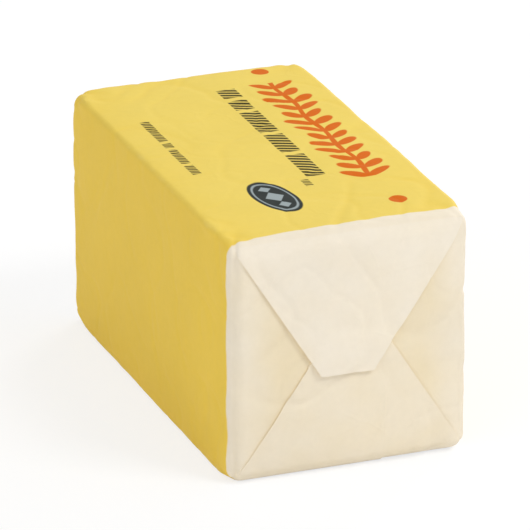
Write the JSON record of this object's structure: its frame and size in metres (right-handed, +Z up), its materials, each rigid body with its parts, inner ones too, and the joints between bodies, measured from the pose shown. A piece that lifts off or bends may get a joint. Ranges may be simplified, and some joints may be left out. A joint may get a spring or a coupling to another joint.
{
  "type": "block of margarine",
  "caption": "Brick of margarine in a folded paper wrapper with envelope-folded ends and a lap seam on the underside, resting flat.",
  "frame": {"origin": "middle of the flat underside, on the surface it rests on", "axes": "+X across the width, +Y along the length towards the back folded end, +Z up"},
  "size_m": [0.0636, 0.1206, 0.0635],
  "materials": {
    "wrapper": "satin"
  },
  "bodies": {
    "root": {"wrapped_block": "wrapper"}
  },
  "joints": []
}
